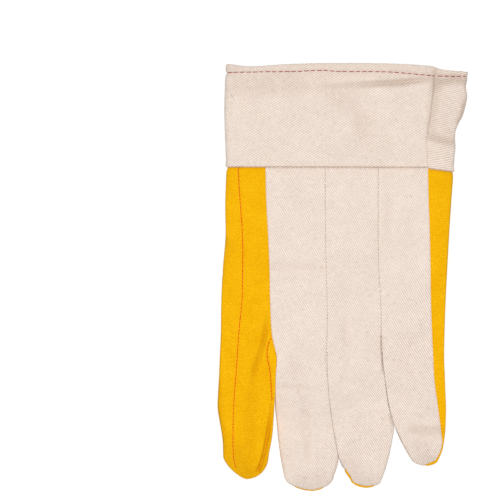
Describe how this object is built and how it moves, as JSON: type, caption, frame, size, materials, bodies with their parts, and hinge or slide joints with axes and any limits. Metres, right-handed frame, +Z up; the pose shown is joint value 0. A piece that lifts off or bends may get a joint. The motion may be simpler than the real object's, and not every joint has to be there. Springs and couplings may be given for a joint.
{
  "type": "canvas chore glove, left hand",
  "caption": "Left-hand cotton work glove with a quilted flannel palm, canvas back and stitched canvas cuff, lying flat with its thumb folded under.",
  "frame": {"origin": "middle of the lying glove's outline, on the surface that it lies on", "axes": "+Z up through the back of the hand, +Y from the fingertips towards the cuff, +X from the index finger towards the little finger"},
  "size_m": [0.1536, 0.2628, 0.0218],
  "materials": {
    "natural_canvas": "undyed twill-woven cotton canvas",
    "golden_flannel": "golden yellow napped double cloth, quilted",
    "red_thread": "red cotton sewing thread",
    "natural_thread": "undyed cotton sewing thread"
  },
  "bodies": {
    "root": {"back_panel": "natural_canvas", "palm_panel": "golden_flannel", "thumb": "golden_flannel", "cuff_back": "natural_canvas", "cuff_palm": "natural_canvas"}
  },
  "joints": []
}
